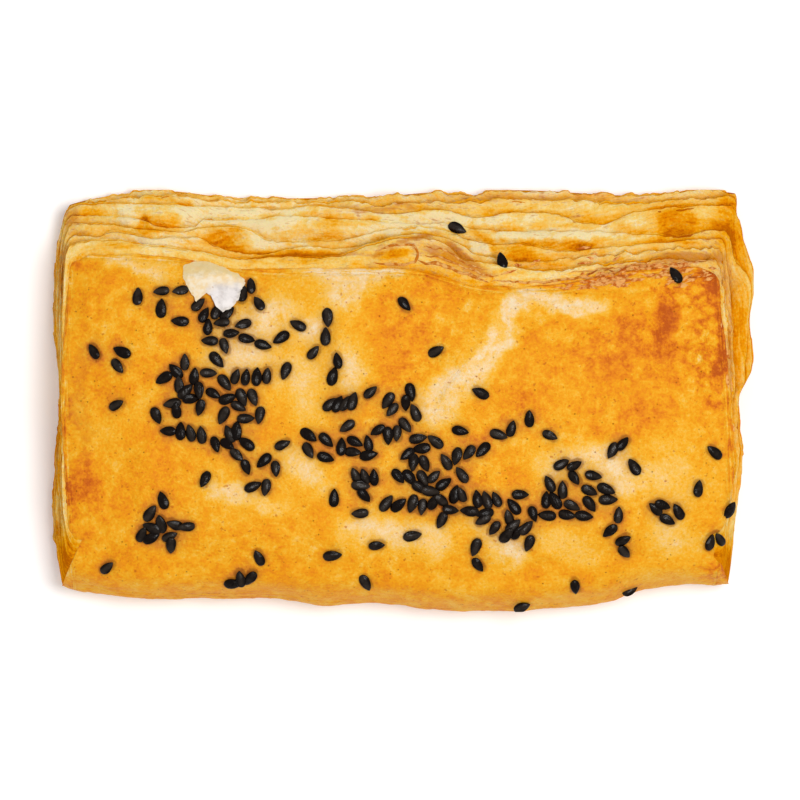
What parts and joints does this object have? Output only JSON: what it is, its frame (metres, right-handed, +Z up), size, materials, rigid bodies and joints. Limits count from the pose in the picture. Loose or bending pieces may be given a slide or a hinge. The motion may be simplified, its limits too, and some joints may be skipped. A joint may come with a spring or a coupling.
{
  "type": "meat pie",
  "caption": "Oblong puff pastry meat pie with a glazed top strewn with black sesame, a smooth fold along the front and flaky layered edges on the other sides.",
  "frame": {"origin": "centre of the pie's bounding box, on the flat base it rests on", "axes": "+X along the length, to the right in the picture; +Y to the open, flaky back edge, up in the picture; +Z up, out of the base"},
  "size_m": [0.1283, 0.077, 0.0281],
  "materials": {
    "puff_pastry": "satin egg glaze over baked puff pastry"
  },
  "bodies": {
    "root": {"meat_pie": "puff_pastry"}
  },
  "joints": []
}
